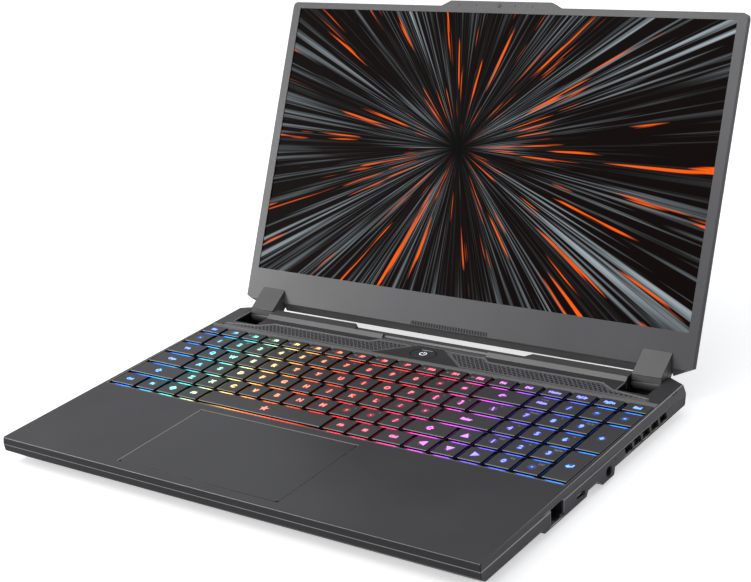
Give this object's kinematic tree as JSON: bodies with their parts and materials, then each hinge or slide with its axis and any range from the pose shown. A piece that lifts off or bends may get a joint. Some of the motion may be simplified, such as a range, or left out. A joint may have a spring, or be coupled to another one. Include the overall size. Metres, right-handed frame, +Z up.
{
  "type": "laptop computer",
  "caption": "Open notebook computer with a full backlit keyboard, touchpad, side ports and vents, and a lid on two offset hinge arms.",
  "frame": {"origin": "middle of the object's bounding box at the plane the feet rest on, with the lid at its resting open angle", "axes": "+X to the user's right, +Y from the front edge towards the hinge, +Z up"},
  "size_m": [0.36, 0.3462, 0.2247],
  "materials": {
    "case_metal": "painted, fine satin",
    "rear_plastic": "moulded, fine texture",
    "bottom_plastic": "moulded, satin",
    "rubber": "matt",
    "steel_screw": "blackened",
    "plate_steel": "black coated",
    "circuit_board": "solder mask",
    "silicon": "polished die on a laminate",
    "copper": "plain copper, dulled",
    "fin_metal": "bare stampings",
    "black_plastic": "moulded",
    "cell_wrap": "wrapped pouch cells",
    "touch_glass": "etched matt",
    "frame_steel": "stamped",
    "port_metal": "tinned shell",
    "hinge_metal": "painted casting",
    "mount_metal": "black casting",
    "pin_steel": "ground",
    "bezel_plastic": "moulded, fine texture",
    "screen_glass": "anti-glare display surface",
    "camera_glass": "dark window",
    "keycap": "coated ABS"
  },
  "bodies": {
    "base": {"top_case": "case_metal", "hinge_cover": "rear_plastic", "bottom_cover": "bottom_plastic", "vent_grille_left": "case_metal", "vent_grille_right": "case_metal", "rubber_feet": "rubber", "bottom_screws": "steel_screw", "keyboard_plate": "plate_steel", "motherboard": "circuit_board", "processor": "silicon", "graphics_chip": "silicon", "heat_pipes": "copper", "heatsink_left": "fin_metal", "heatsink_right": "fin_metal", "fan_housing_left": "black_plastic", "fan_housing_right": "black_plastic", "battery": "cell_wrap", "memory_modules": "circuit_board", "storage_drives": "circuit_board", "wireless_card": "circuit_board", "speaker_left": "black_plastic", "speaker_right": "black_plastic", "touchpad_frame": "frame_steel", "ethernet_jack": "black_plastic", "usb_c_port": "port_metal", "dc_jack": "black_plastic", "usb_a_ports": "port_metal", "hdmi_port": "port_metal", "audio_jack": "black_plastic", "hinge_mount_left": "mount_metal", "hinge_mount_right": "mount_metal", "hinge_pins": "pin_steel"},
    "lid": {"lid_cover": "case_metal", "lid_bezel": "bezel_plastic", "display_panel": "screen_glass", "camera_module": "camera_glass", "hinge_arm_left": "hinge_metal", "hinge_arm_right": "hinge_metal", "chin_pad": "rubber"},
    "touchpad": {"touchpad": "touch_glass"},
    "power_button": {"power_button": "hinge_metal"},
    "fan_left": {"fan_rotor_left": "black_plastic"},
    "fan_right": {"fan_rotor_right": "black_plastic"},
    "key_escape": {"key_escape": "keycap"},
    "key_space": {"key_space": "keycap"},
    "key_enter": {"key_enter": "keycap"},
    "key_backspace": {"key_backspace": "keycap"},
    "key_shift_left": {"key_shift_left": "keycap"},
    "key_shift_right": {"key_shift_right": "keycap"},
    "key_up": {"key_up": "keycap"},
    "key_down": {"key_down": "keycap"},
    "key_left": {"key_left": "keycap"},
    "key_right": {"key_right": "keycap"},
    "keys_function_row": {"keys_function_row": "keycap"},
    "keys_number_row": {"keys_number_row": "keycap"},
    "keys_upper_row": {"keys_upper_row": "keycap"},
    "keys_home_row": {"keys_home_row": "keycap"},
    "keys_lower_row": {"keys_lower_row": "keycap"},
    "keys_bottom_row": {"keys_bottom_row": "keycap"},
    "keys_numpad": {"keys_numpad": "keycap"}
  },
  "joints": [
    {"name": "lid_hinge", "type": "hinge", "parent": "base", "child": "lid", "pos_m": [0, 0.05929, 0.0154], "axis": [1, 0, 0], "range_deg": [-15, 116.4]},
    {"name": "touchpad_click", "type": "hinge", "parent": "base", "child": "touchpad", "pos_m": [0, -0.08951, 0.0173], "axis": [1, 0, 0], "range_deg": [0, 0.25], "stiffness_Nm_per_rad": 24},
    {"name": "power_press", "type": "slide", "parent": "base", "child": "power_button", "axis": [0, 0, -1], "range_m": [0, 0.0004], "stiffness_N_per_m": 2500},
    {"name": "fan_left_spin", "type": "hinge", "parent": "base", "child": "fan_left", "pos_m": [-0.128, 0.00389, 0.008], "axis": [0, 0, 1], "continuous": true},
    {"name": "fan_right_spin", "type": "hinge", "parent": "base", "child": "fan_right", "pos_m": [0.128, 0.00389, 0.008], "axis": [0, 0, 1], "continuous": true},
    {"name": "escape_press", "type": "slide", "parent": "base", "child": "key_escape", "axis": [0, 0, -1], "range_m": [0, 0.0015], "stiffness_N_per_m": 400},
    {"name": "space_press", "type": "slide", "parent": "base", "child": "key_space", "axis": [0, 0, -1], "range_m": [0, 0.0015], "stiffness_N_per_m": 400},
    {"name": "enter_press", "type": "slide", "parent": "base", "child": "key_enter", "axis": [0, 0, -1], "range_m": [0, 0.0015], "stiffness_N_per_m": 400},
    {"name": "backspace_press", "type": "slide", "parent": "base", "child": "key_backspace", "axis": [0, 0, -1], "range_m": [0, 0.0015], "stiffness_N_per_m": 400},
    {"name": "shift_left_press", "type": "slide", "parent": "base", "child": "key_shift_left", "axis": [0, 0, -1], "range_m": [0, 0.0015], "stiffness_N_per_m": 400},
    {"name": "shift_right_press", "type": "slide", "parent": "base", "child": "key_shift_right", "axis": [0, 0, -1], "range_m": [0, 0.0015], "stiffness_N_per_m": 400},
    {"name": "up_press", "type": "slide", "parent": "base", "child": "key_up", "axis": [0, 0, -1], "range_m": [0, 0.0015], "stiffness_N_per_m": 400},
    {"name": "down_press", "type": "slide", "parent": "base", "child": "key_down", "axis": [0, 0, -1], "range_m": [0, 0.0015], "stiffness_N_per_m": 400},
    {"name": "left_press", "type": "slide", "parent": "base", "child": "key_left", "axis": [0, 0, -1], "range_m": [0, 0.0015], "stiffness_N_per_m": 400},
    {"name": "right_press", "type": "slide", "parent": "base", "child": "key_right", "axis": [0, 0, -1], "range_m": [0, 0.0015], "stiffness_N_per_m": 400},
    {"name": "function_row_press", "type": "slide", "parent": "base", "child": "keys_function_row", "axis": [0, 0, -1], "range_m": [0, 0.0015], "stiffness_N_per_m": 1600},
    {"name": "number_row_press", "type": "slide", "parent": "base", "child": "keys_number_row", "axis": [0, 0, -1], "range_m": [0, 0.0015], "stiffness_N_per_m": 1600},
    {"name": "upper_row_press", "type": "slide", "parent": "base", "child": "keys_upper_row", "axis": [0, 0, -1], "range_m": [0, 0.0015], "stiffness_N_per_m": 1600},
    {"name": "home_row_press", "type": "slide", "parent": "base", "child": "keys_home_row", "axis": [0, 0, -1], "range_m": [0, 0.0015], "stiffness_N_per_m": 1600},
    {"name": "lower_row_press", "type": "slide", "parent": "base", "child": "keys_lower_row", "axis": [0, 0, -1], "range_m": [0, 0.0015], "stiffness_N_per_m": 1400},
    {"name": "bottom_row_press", "type": "slide", "parent": "base", "child": "keys_bottom_row", "axis": [0, 0, -1], "range_m": [0, 0.0015], "stiffness_N_per_m": 1200},
    {"name": "numpad_press", "type": "slide", "parent": "base", "child": "keys_numpad", "axis": [0, 0, -1], "range_m": [0, 0.0015], "stiffness_N_per_m": 1600}
  ]
}
